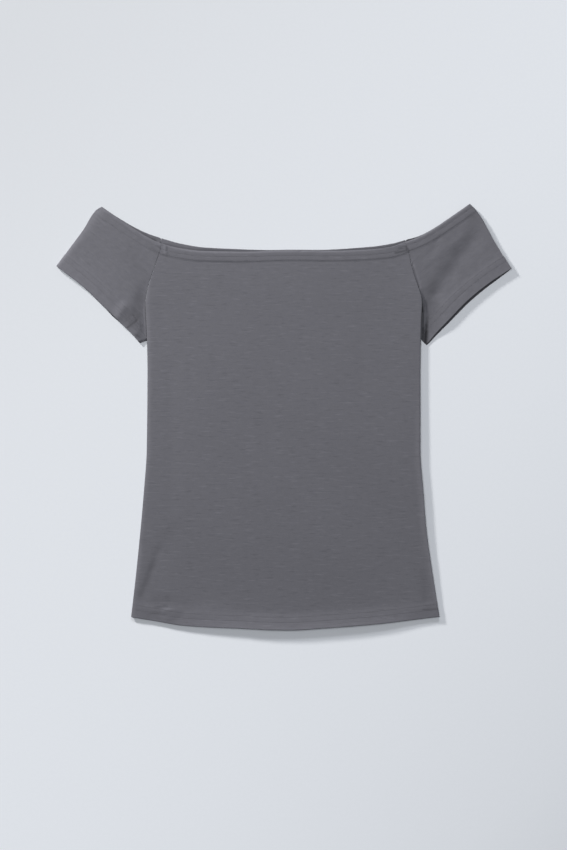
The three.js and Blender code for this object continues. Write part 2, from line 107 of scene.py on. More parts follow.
world = bpy.data.worlds.new("studio")
world.use_nodes = True
background = world.node_tree.nodes["Background"]
background.inputs["Color"].default_value = (0.93, 0.965, 1.0, 1)
background.inputs["Strength"].default_value = 0.13
bpy.context.scene.world = world


# The cut, laid out: the same named curves as the solids

LEFT_SIDE = [  # y, x: neck fold, armhole, side seam, bottom corner
    (9.5, -153.1), (-3.1, -156.1), (-16.9, -160.9), (-35.0, -167.0), (-50.6, -171.4),
    (-64.0, -173.4), (-85.6, -172.4), (-111.9, -171.3), (-148.1, -170.6), (-248.1, -171.6),
    (-298.1, -175.0), (-398.1, -184.4), (-457.3, -191.1),
]  # fmt: skip
RIGHT_SIDE = [  # y, x
    (11.3, 151.0), (-1.9, 155.8), (-17.3, 159.0), (-30.6, 162.7), (-44.4, 167.6),
    (-55.6, 171.3), (-66.0, 172.5), (-82.0, 171.6), (-110.5, 170.7), (-148.1, 170.2),
    (-248.1, 170.1), (-298.1, 173.8), (-348.1, 177.8), (-398.1, 184.8), (-457.1, 194.0),
]  # fmt: skip
NECKLINE = [  # x, y of the front's neck fold, carried on past both tips
    (-245.0, 67.3), (-228.1, 55.6), (-210.0, 43.1), (-190.0, 29.5), (-167.5, 15.9),
    (-153.1, 9.3), (-126.3, 2.9), (-101.3, 0.1), (-47.5, -0.7), (7.5, 0.8), (57.5, 0.3),
    (107.5, 2.1), (132.5, 5.2), (151.0, 11.3), (170.0, 18.7), (190.0, 30.2), (205.0, 40.3),
    (231.8, 58.9), (248.0, 70.1),
]  # fmt: skip
BACK_RISE = [  # x, how far the back's neck fold lies above the front's
    (-215.0, 0), (-190.0, 1.9), (-180.0, 3.0), (-167.0, 4.9), (-154.0, 6.7), (-125.0, 5.7),
    (-95.0, 4.3), (-50.0, 2.8), (-5.0, 1.0), (40.0, 1.1), (70.0, 2.1), (115.0, 3.4),
    (130.0, 3.7), (151.0, 2.5), (170.0, 0.7), (190.0, 0),
]  # fmt: skip
HEM = [  # x, y, how far the front's bottom edge lifts off the back
    (-191.1, -457.3, -0.8), (-160.0, -462.4, -0.7), (-130.0, -467.4, 0.2), (-92.5, -469.8, 1.6),
    (-55.0, -471.1, 2.8), (-17.5, -472.9, 3.7), (7.5, -473.2, 3.7), (45.0, -471.1, 3.7),
    (120.0, -465.3, 2.7), (157.5, -461.0, 1.6), (193.8, -456.6, 0.2),
]  # fmt: skip
BODY_HEIGHTS = [  # down, middle, left, right, roll, lip at the right edge
    (0, 4.0, 3.8, 3.8, 0, 0), (20, 4.0, 3.8, 3.8, 0, 0), (38, 4.1, 4.0, 4.0, 0, 0),
    (50, 4.3, 4.3, 4.4, 0.3, 0), (64, 4.5, 4.8, 4.9, 0.9, 0), (74, 4.6, 4.9, 5.1, 1, 0),
    (121, 4.8, 5.0, 5.5, 1, 0), (200, 4.8, 5.0, 5.6, 1, 0.2), (250, 4.8, 4.9, 5.2, 1, 1.1),
    (350, 4.5, 4.4, 4.8, 1, 1.4), (420, 3.7, 3.6, 4.3, 1, 0.8), (475, 3.4, 3.1, 3.6, 1, 0.2),
]  # fmt: skip

# Each sleeve's own sizes:
#   tip: where its neck fold ends
#   fold, cuff: its outer fold and the cuff's edge, in plan
#   peek: how far the cuff's back layer shows past its front, and the power of that bow
#   gape: where across the cuff it shows further, over what share, and how far
#   stand: how high the back's neck edge stands, as a share of the body's
#   neck_rise: how much of the turned neck edge's height shows, and neck_step, where it fades
#   neck_pull: how deep the stitches pull its two rows in
#   rim: how far in the neck edge is rounded
#   the inside's painted shade: how much darker the inside is painted; and mouth, strokes of painted
#   shade there
#   fold_height: how high the outer fold is, and fold_round, how far in it is rounded
#   tuck: beside the underarm, where the sleeve goes down beside the body's edge: y, where its
#       outer slope lies, how wide that is, its depth, and the climb back to the seam
LEFT_SLEEVE = {
    "side": LEFT_SIDE,
    "outward": -1,
    "tip": (-228.1, 55.6),
    "fold": [(-228.1, 55.6), (-235.3, 50.8), (-251.1, 26.4), (-269.7, 1.1), (-284.2, -19.1)],
    "cuff": [
        (-180.3, -115.3), (-189.3, -104.5), (-209.3, -84.5), (-229.3, -65.0), (-249.4, -45.6),
        (-284.2, -19.1),
    ],
    "peek": (0.6, 1),
    "gape": (0.34, 0.06, 0.8),
    "stand": 1,
    "neck_rise": 0.45,
    "mouth": [(-221.0, -74.5, -210.0, -85.0, -0.5, 3)],
    "rim": 1.5,
    "neck_pull": (0.02, 0.01),
    "neck_step": 7,
    "inside_painted_shade": 0.1,
    "fold_height": 2.7,
    "fold_round": 1.35,
    "tuck": [
        (-34.0, 10, 20, 0, 0), (-60.0, 10, 20, 0.6, 0), (-78.0, 8, 18, 1, 0),
        (-120.0, 6, 16, 0.9, 0),
    ],
}  # fmt: skip
RIGHT_SLEEVE = {
    "side": RIGHT_SIDE,
    "outward": 1,
    "tip": (231.8, 58.9),
    "fold": [(231.8, 58.9), (237.6, 53.4), (248.5, 38.0), (261.6, 13.6), (283.3, -22.3)],
    "cuff": [
        (177.6, -117.2), (187.8, -104.8), (204.7, -87.0), (229.5, -61.6), (256.2, -40.0),
        (283.3, -22.3),
    ],
    "peek": (2.9, 0.3),
    "gape": (0.5, 0.2, 0),
    "stand": 0.3,
    "neck_rise": 1,
    "mouth": [],
    "rim": 1.1,
    "neck_pull": (0.15, 0.06),
    "neck_step": 4.5,
    "inside_painted_shade": 0.55,
    "fold_height": 5.4,
    "fold_round": 0.95,
    "tuck": [
        (-46.0, 11, 22, 0, 0), (-61.5, 13, 24, 0.75, 0.4), (-71.5, 17, 27, 1, 0.8),
        (-82.0, 20, 30, 1, 1), (-101.0, 21, 30, 1, 1), (-120.0, 19, 28, 1, 1),
    ],
}  # fmt: skip
SLEEVE_HEIGHTS = [  # round, at the body end, at the cuff
    (0, 4.2, 4.2), (0.25, 4.0, 4.6), (0.45, 3.9, 4.8), (0.58, 3.8, 4.8), (0.8, 4.0, 4.6),
    (1, 4.4, 4.6),
]  # fmt: skip

# Creases, each along a straight stretch: from x, y, to x, y, height (a trough is below 0), width.
BODY_CREASES = [
    (-157.0, -375.0, -166.0, -398.0, -0.5, 5),
    (-166.0, -398.0, -178.5, -425.0, -0.8, 4.5),
    (-140.0, -356.0, -175.0, -428.0, -0.45, 13),
    (-177.0, -375.0, -185.0, -418.0, 0.9, 5),
    (-170.0, -430.0, -168.0, -431.0, 0.35, 5),
    (-158.0, -437.0, -143.0, -439.0, -0.3, 3),
    (-151.0, -449.8, -143.0, -448.4, 0.4, 2.5),
    (-133.0, -462.0, -122.0, -449.0, -0.25, 4),
    (-106.0, -449.0, -68.0, -446.0, 0.25, 6),
    (-105.6, -16.9, -49.4, -20.6, -0.3, 6),
    (-141.0, -148.0, -140.0, -320.0, -0.35, 9),
    (98.0, -117.0, 99.0, -180.0, -0.2, 7),
    (-164.0, -434.0, -124.0, -442.0, -0.35, 6),
    (-149.7, 6.8, -149.7, 6.2, 1.2, 1.5),
    (-150.0, 2.4, -149.8, 1.9, 1.2, 1.5),
    (-149.0, -1.4, -149.0, -1.9, 0.9, 1.4),
    (-147.0, 6.0, -147.2, 0.0, -0.4, 1.1),
    (144.0, 8.6, 148.5, 9.8, 0.3, 1.6),
    (147.4, 2.6, 149.4, 3.0, 0.6, 1.4),
]
LEFT_CREASES = [
    (-206.5, -81.0, -200.0, -70.0, 1.4, 6),
    (-183.1, -86.0, -186.9, -80.9, -0.3, 1.2),
    (-203.0, -80.0, -196.0, -88.0, -0.3, 1.6),
    (-188.0, -80.0, -178.5, -54.0, -0.55, 5),
    (-181.0, -88.0, -178.0, -93.0, 0.5, 1.4),
    (-180.5, -96.0, -178.0, -101.0, 0.4, 1.6),
    (-186.0, -106.0, -180.5, -98.0, 0.2, 2.2),
]
RIGHT_CREASES = [
    (247.0, 32.0, 236.0, 13.0, -0.6, 9),
    (236.0, 13.0, 221.0, -6.0, -1.1, 10),
    (221.0, -6.0, 207.0, -27.0, -1.3, 11),
    (207.0, -27.0, 189.0, -52.0, -1.1, 10),
    (190.0, -54.0, 186.0, -78.0, -0.8, 8),
    (238.0, -8.0, 199.0, -57.0, -0.8, 17),
    (222.0, 18.0, 177.0, -17.0, 0.35, 4),
    (182.4, -4.5, 193.3, 15.8, -0.35, 3),
    (153.0, 0.0, 160.6, -17.0, -0.55, 1.5),
    (160.6, -17.0, 169.5, -44.4, -0.55, 1.5),
]

# Painted shade where the cloth lies deep in a fold or a seam: the same columns, with a change of
# tone, painted darker, in place of the height.
BODY_PAINTED_SHADE = [
    (143.0, 3.4, 150.4, 5.8, -0.25, 1.2),
    (152.3, 5.6, 153.6, 0.0, -0.5, 1.3),
    (139.0, -2.6, 151.5, 0.6, -0.4, 1.5),
    (-151.5, -4.5, -144.5, -4.0, -0.1, 1.3),
    (-146.2, 5.0, -146.4, 0.8, -0.3, 1.1),
    (-145.6, -2.0, -146.8, -6.4, -0.25, 1.2),
    (-151.8, 3.4, -150.0, 4.2, -0.12, 0.9),
    (-151.8, -1.0, -149.6, -0.4, -0.12, 0.9),
    (-140.0, -48.0, 125.0, -50.0, -0.04, 42),
    (-162.5, -388.0, -170.0, -408.0, -0.08, 5),
    (-169.0, -406.0, -180.5, -430.0, -0.15, 4),
    (-166.0, -437.0, -145.0, -438.5, -0.08, 4),
    (-150.0, -441.0, -145.0, -432.0, -0.07, 3.5),
    (-160.7, -444.6, -146.0, -443.6, -0.2, 1.2),
    (-171.0, -453.5, -154.4, -451.0, -0.14, 1.2),
    (-142.0, -462.0, -132.0, -451.0, -0.07, 4.5),
    (172.5, -402.0, 175.5, -436.0, -0.08, 4),
    (174.0, -447.6, 189.6, -447.0, -0.2, 1.3),
]
LEFT_PAINTED_SHADE = [
    (-195.0, -88.0, -186.0, -76.0, -0.25, 6),
    (-192.0, -90.0, -184.0, -81.0, -0.31, 6),
    (-184.0, -78.0, -178.0, -58.0, -0.16, 5),
    (-195.4, -95.6, -183.4, -86.2, -0.5, 1.5),
    (-185.0, -86.0, -189.5, -79.0, -0.4, 1.1),
    (-186.0, -84.0, -180.0, -104.0, -0.08, 6),
    (-174.2, -84.0, -174.0, -90.0, -0.3, 1.5),
    (-186.0, -104.5, -181.0, -107.0, -0.25, 2.2),
    (-165.0, 3.0, -157.6, -1.6, -0.16, 2.6),
    (-158.5, 6.2, -154.6, 4.4, -0.16, 1.6),
    (-190.0, -5.0, -182.0, -30.0, -0.05, 14),
]
RIGHT_PAINTED_SHADE = [
    (171.4, -59.0, 172.8, -76.0, -0.8, 1.4),
    (172.8, -78.0, 173.2, -94.0, -0.35, 2.2),
    (173.6, -96.0, 174.0, -114.0, -0.6, 2.6),
    (177.6, -62.0, 180.4, -82.0, -0.3, 2.4),
    (179.8, -83.0, 179.0, -88.0, -0.42, 2.4),
    (179.0, -88.0, 178.4, -92.0, -0.52, 2.4),
    (178.4, -92.0, 177.8, -98.0, -0.66, 2.6),
    (177.4, -100.0, 176.4, -116.0, -0.8, 3.4),
    (180.0, -60.0, 184.0, -100.0, -0.17, 5.5),
    (188.0, -70.0, 190.0, -96.0, -0.12, 9),
    (218.0, -32.0, 231.0, -16.0, -0.06, 12),
    (154.4, 3.0, 157.0, -10.0, -0.3, 1.3),
    (157.0, -10.0, 160.8, -22.0, -0.17, 1.4),
    (160.8, -22.0, 168.0, -45.0, -0.1, 1.3),
    (240.0, 46.0, 234.0, 40.0, -0.08, 6),
    (186.0, -38.0, 181.0, -58.0, -0.1, 8),
]
PAINTED_HIGHLIGHTS = [  # painted highlights: edges and small lumps painted brighter, where they catch the light
    (-149.8, 7.0, -149.4, -2.2, 0.2, 1.3),
    (-180.5, -372.0, -186.5, -420.0, 0.12, 4),
    (-170.0, -432.5, -167.0, -433.5, 0.08, 3),
    (-171.5, -443.5, -166.0, -444.5, 0.08, 2),
    (-151.0, -449.6, -142.5, -448.0, 0.1, 2.5),
    (-124.0, -463.0, -60.0, -466.0, 0.07, 8),
    (-104.0, -447.0, -72.0, -448.0, 0.05, 10),
    (120.0, -460.0, 150.0, -457.0, 0.04, 8),
    (-150.0, -457.0, -124.0, -461.0, 0.05, 6),
    (172.8, -280.0, 174.4, -314.0, 0.2, 1.8),
    (174.4, -314.0, 183.4, -398.0, 0.22, 1.8),
    (183.4, -398.0, 190.0, -436.0, 0.2, 1.8),
]

# The cloth and its turned edges, in millimetres
CLOTH = 0.6  # its thickness
FOLD_RADIUS = 0.75  # of a turned edge's outside
QUARTER_TURN = FOLD_RADIUS * math.pi / 2  # cloth from the edge itself to where its fold ends
SLEEVE_NECK_ROUND, CUFF_ROUND = 0.45, 0.35  # how far in a fold that is pressed sharp is rounded
TURNED_UNDER = 0.5  # how far the second layer lifts a turned edge
NECK_HEM, SLEEVE_NECK_HEM, CUFF_HEM, BODY_HEM = 13.0, 12.6, 19.0, 17.5  # widths turned under
NECK_STEP, CUFF_STEP, HEM_STEP = 3, 6, 10  # how far the raw edge inside takes to fade out
NECK_STITCHES, SLEEVE_NECK_STITCHES = (6.4, 11.9), (5.2, 11.6)  # both rows, in from the edge
CUFF_STITCHES, HEM_STITCHES = (11.6, 17.8), (9.6, 16.0)
NECK_PULL, CUFF_PULL, HEM_PULL = (0.08, 0.09), (0.07, 0.09), (0.07, 0.02)  # how deep they pull
GROOVE = 0.65  # half the width of a row's groove
NECK_DIP, NECK_DIP_REACH = 1.0, 1.5  # how far the neck edge is pressed down, and how far in
LEAST_RADIUS, LEAST_WALL = 0.05, 0.02  # what is left of a fold inside its innermost layer

# The body: its sides are rolls, and a roll ends at its rim
UNDERARM = 0.26  # where the armhole ends, as a share of the side from the neck fold down
ROLL_SHARE, NEAR_SHARE = 0.1, 0.09  # of the way across, for each roll and for what is beside it
FRONT_RIM, BACK_RIM = 2.3, 2.0  # height at which each roll ends, at the side seam
SIDE_REACH = {"left": 12, "right": 45}  # how far in the height at a side gives way
SIDE_ROUND = {"left": 6.0, "right": 0.65}  # how far in the rounded side reaches
LIP_REACH = 4  # of the raised lip at the right edge
NECK_SEAM_ROUND, ARMHOLE_ROUND = 0.2, 0.55  # how a sewn edge is rounded as it dips into a seam
SEAM_ROUND_FROM, SEAM_ROUND_OVER = 9, 8  # down from the neckline, where the second takes over
HEM_LIFT_REACH, HEM_LIFT_POWER = 24, 1.75  # of the bottom edge's lift
BACK_HEM_SHORT = 1.5  # how much higher the back's bottom edge lies than the front's
RISE_REACH = 34  # how far down the back's higher neckline is evened out
STAND_HEIGHT, STAND_RISE = 1.3, 3  # how high the back's neck edge stands, full from this rise on
STAND_PAST, STAND_OVER = 0.6, 1.4  # how far below the front's neck fold it ends, and how softly
CURL_OVER = 0.03  # share of the side over which the back starts to curl up

# The sleeves: w is 0 at the underarm and 1 at the outer fold, v is 0 at the body and 1 at the cuff
SEAM_GAP = 0.12  # between a sleeve and the body, in plan
NECK_SEAM_AT = 0.58  # share across the body end where the armhole gives way to the neckline
SLEEVE_RUN = (200, 145)  # width at the body end and at the cuff
UNDERARM_HEIGHT = 1.35  # of the fold along the underarm
UNDERARM_FALL = 0.9  # how fast the underarm's own height gives way, per millimetre
UNDERARM_FADE = 0.14  # share across over which the turned edges set in
TUCK_HEIGHT = 1.35  # of the cloth at the bottom of a tuck
CLIMB_HEIGHT, CLIMB_REACH = 3.7, 3.4  # of the cloth that climbs back to the side seam
FOLD_REACH = 15  # how far in the outer fold's height gives way
FOLD_PULL_FROM, FOLD_PULL_OVER = 0.8, 0.2  # shares across where the plan bends to the outer fold
LINE_POINTS = 160  # on a smoothed line
CUFF_NEAR = 0.01  # share of the cuff over which its direction is taken
ROUND = {"underarm": 0.06, "front": 0.44, "fold": 0.56, "back": 0.94}  # shares of a sleeve's ring


def mix(a, b, t):
    return a + (b - a) * t


def clamp(t):
    return np.clip(t, 0.0, 1.0)


def smooth(t):
    t = clamp(t)
    return t * t * (3 - 2 * t)


def bell(t):
    return np.exp(-t * t)


def curve(rows, wanted=1):
    """Reads one column of a table as a smooth function of the first, with no overshoot."""
    rows = sorted(rows, key=lambda row: row[0])
    xs = np.array([row[0] for row in rows], float)
    ys = np.array([row[wanted] for row in rows], float)
    steps = np.diff(ys) / np.diff(xs)
    slope = np.concatenate([steps[:1], steps[1:], steps[-1:]])
    before, after = steps[:-1], steps[1:]
    safe = np.where(before + after == 0, 1, before + after)
    slope[1:-1] = np.where(before * after > 0, 2 * before * after / safe, 0)

    def read(x):
        x = np.clip(x, xs[0], xs[-1])
        i = np.clip(np.searchsorted(xs, x) - 1, 0, len(xs) - 2)
        width = xs[i + 1] - xs[i]
        t = (x - xs[i]) / width
        start = (1 + 2 * t) * (1 - t) ** 2
        value = ys[i] * start + ys[i + 1] * (1 - start)
        return value + width * t * (1 - t) * (slope[i] * (1 - t) - slope[i + 1] * t)

    return read


def line_through(points):
    """A smooth plan line, read by the share of its length."""

    def lengths():
        return np.concatenate([[0], np.cumsum(np.hypot(*np.diff(points, axis=0).T))])

    points = np.array(points, float)
    for _ in range(2):
        x, y = (curve(list(zip(lengths(), points[:, k]))) for k in (0, 1))
        along = np.linspace(0, lengths()[-1], LINE_POINTS)
        points = np.stack([x(along), y(along)], 1)
    share = lengths() / lengths()[-1]
    return lambda t: (np.interp(t, share, points[:, 0]), np.interp(t, share, points[:, 1]))


def creases_at(creases, x, y, join=np.add):
    """The height or tone that a table of straight strokes gives each point."""
    total = np.zeros(np.shape(x))
    for from_x, from_y, to_x, to_y, height, width in creases:
        dx, dy = to_x - from_x, to_y - from_y
        t = clamp(((x - from_x) * dx + (y - from_y) * dy) / (dx * dx + dy * dy))
        away = np.hypot(x - from_x - dx * t, y - from_y - dy * t)
        total = join(total, height * bell(away / width))
    return total


def turned(distance, hem, step):
    """1 on a turned edge and 0 past it."""
    return smooth((hem + step / 2 - distance) / step)


def sewn(distance, rows, along, pull):
    """The two shallow, slightly uneven grooves that a twin needle pulls into a turned edge."""
    drift = 0.22 * np.sin(along / 2.7) + 0.15 * np.sin(along / 1.9 + 1)
    uneven = 1 + 0.3 * np.sin(along / 2.1 + 0.6) + 0.25 * np.sin(along / 4.3)
    lines = zip(rows, pull)
    return -uneven * sum(depth * bell((distance - row - drift) / GROOVE) for row, depth in lines)


neck_y = curve(NECKLINE)


def below_neckline(x, y):
    """How far a point lies below the front's neck fold, square to it."""
    slope = (neck_y(x + 1) - neck_y(x - 1)) / 2
    return (neck_y(x) - y) / np.hypot(1, slope)


back_rise = curve(BACK_RISE)
hem_y, hem_lift = curve(HEM, 1), curve(HEM, 2)
side_x = {"left": curve(LEFT_SIDE), "right": curve(RIGHT_SIDE)}
height_columns = ("middle", "left", "right", "roll", "lip")
heights = {name: curve(BODY_HEIGHTS, k) for k, name in enumerate(height_columns, 1)}


def side_at(name, share):
    side = LEFT_SIDE if name == "left" else RIGHT_SIDE
    y = mix(side[0][0], side[-1][0], share)
    return side_x[name](y), y


def front_plan(u, v):
    """Plan x and y at a share across and down, and the distances to the neckline and the bottom."""
    left, right = side_at("left", v)[0], side_at("right", v)[0]
    top = neck_y(mix(LEFT_SIDE[0][1], RIGHT_SIDE[0][1], u))
    bottom = hem_y(mix(LEFT_SIDE[-1][1], RIGHT_SIDE[-1][1], u))
    return mix(left, right, u), mix(top, bottom, v), (top - bottom) * v, (top - bottom) * (1 - v)


def turned_body_edges(down, up):
    """How far the turned neckline and bottom edge rise, by the distances to both."""
    at_neck, at_hem = turned(down, NECK_HEM, NECK_STEP), turned(up, BODY_HEM, HEM_STEP)
    return TURNED_UNDER * np.maximum(at_neck, at_hem)


def body_length(across):
    """From the neckline to the bottom edge, at a share across the steps of the panel."""
    u = clamp((across - ROLL_SHARE) / (1 - 2 * ROLL_SHARE))
    return front_plan(u, 0 * u)[3]


def front_surface(across, v, inward):
    """The front's outside, or a layer of it a distance further in.

    Across is 0 at the left side seam and 1 at the right one, v is 0 at the neckline.
    """
    width = side_at("right", v)[0] - side_at("left", v)[0]

    def place(inset):
        return front_plan(inset / width, v)

    _, _, down, up = place(width / 2)
    thick = turned_body_edges(down, up)
    sides = {}
    for name, share in (("left", 0), ("right", 1)):
        down = place(width * share)[2]
        top = heights[name](down) + thick
        roll = heights["roll"](down)
        if name == "right":
            top = top + heights["lip"](down)
        seam_share = smooth((down - SEAM_ROUND_FROM) / SEAM_ROUND_OVER)
        seam_round = mix(NECK_SEAM_ROUND, ARMHOLE_ROUND, seam_share)
        radius = mix(seam_round, SIDE_ROUND[name], roll)
        sides[name] = (top, radius, mix(top - seam_round, FRONT_RIM, roll))
    from_right = across > 0.5
    top, radius, rim = (np.where(from_right, b, a) for a, b in zip(sides["left"], sides["right"]))
    edge = np.where(from_right, 1 - across, across)
    angle = clamp(edge / ROLL_SHARE) * math.pi / 2
    inner_radius = np.maximum(radius - inward, LEAST_RADIUS)
    rim = np.minimum(rim, top - inward - LEAST_WALL)
    roll_inset = inward + inner_radius * (1 - np.cos(angle))
    roll_z = rim + (top - inward - rim) * np.sin(angle)

    left_radius = np.maximum(sides["left"][1], inward + LEAST_RADIUS)
    right_radius = np.maximum(sides["right"][1], inward + LEAST_RADIUS)
    share = clamp((across - ROLL_SHARE) / (1 - 2 * ROLL_SHARE))
    inset = mix(left_radius, width - right_radius, share)
    x, y, down, up = place(inset)
    lift = hem_lift(x) * clamp(1 - up / HEM_LIFT_REACH) ** HEM_LIFT_POWER
    level = heights["middle"](down) + lift + creases_at(BODY_CREASES, x, y)
    level = level - NECK_DIP * bell(down / NECK_DIP_REACH)
    here = level
    for name, distance in (("left", inset - left_radius), ("right", width - right_radius - inset)):
        lip = heights["lip"](down) if name == "right" else 0
        side_level = sides[name][0] - thick - lip
        here = here + (side_level - level) * bell(distance / SIDE_REACH[name])
        here = here + lip * bell(distance / LIP_REACH)
    z = here + turned_body_edges(down, up)
    z = z + sewn(down, NECK_STITCHES, x, NECK_PULL) + sewn(up, HEM_STITCHES, x, HEM_PULL) - inward

    on_roll = edge < ROLL_SHARE
    inset = np.where(on_roll, np.where(from_right, width - roll_inset, roll_inset), inset)
    x, y, _, _ = place(inset)
    return np.stack([x, y, np.where(on_roll, roll_z, z)], -1)


def stands(rise, down):
    """How far the back's neckline stands up, where it shows beyond the front's."""
    hidden = smooth((down - rise - STAND_PAST) / STAND_OVER + 1)
    return STAND_HEIGHT * smooth(rise / STAND_RISE) * (1 - hidden)


def back_surface(across, v, inward):
    """The back's outside, which lies flat and curls up to the side seams below the armholes."""
    width = side_at("right", v)[0] - side_at("left", v)[0]
    curl = smooth((v - UNDERARM) / CURL_OVER)
    from_right = across > 0.5
    edge = np.where(from_right, 1 - across, across)
    angle = clamp(edge / ROLL_SHARE) * math.pi / 2
    radius = mix(ARMHOLE_ROUND, BACK_RIM, curl)
    inner_radius = np.maximum(radius - inward, LEAST_RADIUS)
    roll_inset = np.minimum(inward, radius) + inner_radius * (1 - np.cos(angle))
    rim = np.maximum(radius, inward + LEAST_WALL)
    roll_z = rim - (rim - inward) * np.sin(angle)
    share = clamp((edge - ROLL_SHARE) / (0.5 - ROLL_SHARE))
    inset = mix(np.maximum(radius, inward + LEAST_RADIUS), width / 2, share)
    inset = np.where(edge < ROLL_SHARE, roll_inset, inset)
    inset = np.where(from_right, width - inset, inset)
    x, y, down, up = front_plan(inset / width, v)
    y = y + back_rise(x) * (1 - smooth(down / RISE_REACH))
    y = y + BACK_HEM_SHORT * (1 - smooth(up / BODY_HEM))
    z = np.where(edge < ROLL_SHARE, roll_z, inward) + stands(back_rise(x), down)
    return np.stack([x, y, z], -1)


def body_end(sleeve, w):
    """The sleeve's body end: up the armhole to the neck seam, then its own neckline to the tip."""
    name = "left" if sleeve["outward"] < 0 else "right"
    side = sleeve["side"]
    gap = sleeve["outward"] * SEAM_GAP
    arm_x, arm_y = side_at(name, UNDERARM * (1 - clamp(w / NECK_SEAM_AT)))
    share = clamp((w - NECK_SEAM_AT) / (1 - NECK_SEAM_AT))
    neck_x = mix(side[0][1] + gap, sleeve["tip"][0], share)
    on_armhole = w <= NECK_SEAM_AT
    return np.where(on_armhole, arm_x + gap, neck_x), np.where(on_armhole, arm_y, neck_y(neck_x))


def sleeve_plan(sleeve):
    """Gives a function that reads the sleeve's plan x and y and its length at a share across."""
    cuff, fold = line_through(sleeve["cuff"]), line_through(sleeve["fold"])
    outward = sleeve["outward"]

    def plan(w, v, is_back):
        w = clamp(w)
        start_x, start_y = body_end(sleeve, w)
        start_y = start_y + np.where(is_back, back_rise(start_x) * smooth(w / NECK_SEAM_AT) ** 4, 0)
        end_x, end_y = cuff(w)
        ahead, behind = cuff(clamp(w + CUFF_NEAR)), cuff(clamp(w - CUFF_NEAR))
        run_x, run_y = ahead[0] - behind[0], ahead[1] - behind[1]
        size = np.hypot(run_x, run_y)
        gape_at, gape_width, gape = sleeve["gape"]
        peek, peek_power = sleeve["peek"]
        peek = peek * np.sin(math.pi * w) ** peek_power + gape * bell((w - gape_at) / gape_width)
        peek = np.where(is_back, outward * peek, 0)
        end_x, end_y = end_x + peek * run_y / size, end_y - peek * run_x / size
        bow_x, bow_y = fold(clamp(v))
        pull = smooth((w - FOLD_PULL_FROM) / FOLD_PULL_OVER)
        x = mix(start_x, end_x, v) + pull * (bow_x - mix(sleeve["fold"][0][0], end_x, v))
        y = mix(start_y, end_y, v) + pull * (bow_y - mix(sleeve["fold"][0][1], end_y, v))
        return x, y, np.hypot(end_x - start_x, end_y - start_y)

    return plan


def round_to_width(sleeve, turn, v):
    """Where a point of the ring lies: its share across, and whether it is on the back."""
    run = mix(SLEEVE_RUN[0], SLEEVE_RUN[1], v)
    is_back = turn > 0.5
    under, top = UNDERARM_HEIGHT / 2 / run, 1 - sleeve["fold_round"] / run
    half = np.where(is_back, 1 - turn, turn)
    share = clamp((half - ROUND["underarm"]) / (ROUND["front"] - ROUND["underarm"]))
    return mix(under, top, share), is_back


seam_height, cuff_height = curve(SLEEVE_HEIGHTS, 1), curve(SLEEVE_HEIGHTS, 2)


def sleeve_surface(sleeve, creases):
    """Gives the sleeve's outside as a function of turn, round the ring, and v; and its plan."""
    plan = sleeve_plan(sleeve)
    outward = sleeve["outward"]
    body_edge = side_x["left" if outward < 0 else "right"]
    slope_at, slope_width, tuck_depth, climb = (curve(sleeve["tuck"], k) for k in range(1, 5))

    def surface(turn, v, inward):
        run = mix(SLEEVE_RUN[0], SLEEVE_RUN[1], v)
        under_radius = UNDERARM_HEIGHT / 2
        fold_radius, fold_round = sleeve["fold_height"] / 2, sleeve["fold_round"]
        w, is_back = round_to_width(sleeve, turn, v)
        x, y, length = plan(w, v, is_back)
        from_neck = below_neckline(x, y)
        from_cuff = (1 - v) * length
        level = mix(seam_height(w), cuff_height(w), smooth(v)) + creases_at(creases, x, y)
        neck_hem = sleeve["neck_rise"] * turned(from_neck, SLEEVE_NECK_HEM, sleeve["neck_step"])
        hems = np.maximum(neck_hem, turned(from_cuff, CUFF_HEM, CUFF_STEP))
        hems = hems * smooth(w / UNDERARM_FADE)
        here = level + TURNED_UNDER * hems - NECK_DIP * bell(from_neck / sleeve["rim"])
        to_fold = clamp((1 - fold_round / run - w) * run / FOLD_REACH)
        z = here + (sleeve["fold_height"] - here) * (1 - to_fold) ** 3
        beside = (x - body_edge(y)) * outward
        tucked = (1 - smooth((beside - slope_at(y)) / slope_width(y) + 0.5)) * tuck_depth(y)
        z = z + (TUCK_HEIGHT - z) * tucked
        z = z + CLIMB_HEIGHT * climb(y) * clamp(1 - beside / CLIMB_REACH)
        z = z + (2 * under_radius - z) * bell((w - under_radius / run) * run * UNDERARM_FALL)
        z = z + sewn(from_neck, SLEEVE_NECK_STITCHES, x + y, sleeve["neck_pull"]) - inward
        z = z + sewn(from_cuff, CUFF_STITCHES, x + y, CUFF_PULL)
        z = np.where(is_back, inward + sleeve["stand"] * stands(back_rise(x), v * length), z)

        on_under = (turn < ROUND["underarm"]) | (turn > ROUND["back"])
        angle = np.where(turn < 0.5, turn, turn - 1) / ROUND["underarm"] * math.pi / 2
        small = np.maximum(under_radius - inward, LEAST_RADIUS)
        under_w = (np.minimum(inward, under_radius) + small * (1 - np.cos(angle))) / run
        on_fold = (turn > ROUND["front"]) & (turn < ROUND["fold"])
        fold_angle = math.pi * (0.5 - (turn - ROUND["front"]) / (ROUND["fold"] - ROUND["front"]))
        large = np.maximum(fold_radius - inward, LEAST_RADIUS)
        narrow = np.maximum(fold_round - inward, LEAST_RADIUS)
        fold_w = 1 - (np.minimum(inward, fold_round) + narrow * (1 - np.cos(fold_angle))) / run
        bend_w = np.where(on_under, under_w, np.where(on_fold, fold_w, w))
        bend_x, bend_y, _ = plan(bend_w, v, is_back)
        under_z = under_radius + small * np.sin(angle)
        bend_z = np.where(on_under, under_z, fold_radius + large * np.sin(fold_angle))
        bent = on_under | on_fold
        pairs = ((bend_x, x), (bend_y, y), (bend_z, z))
        return np.stack([np.where(bent, bend, flat) for bend, flat in pairs], -1)

    return surface, plan


# Cloth

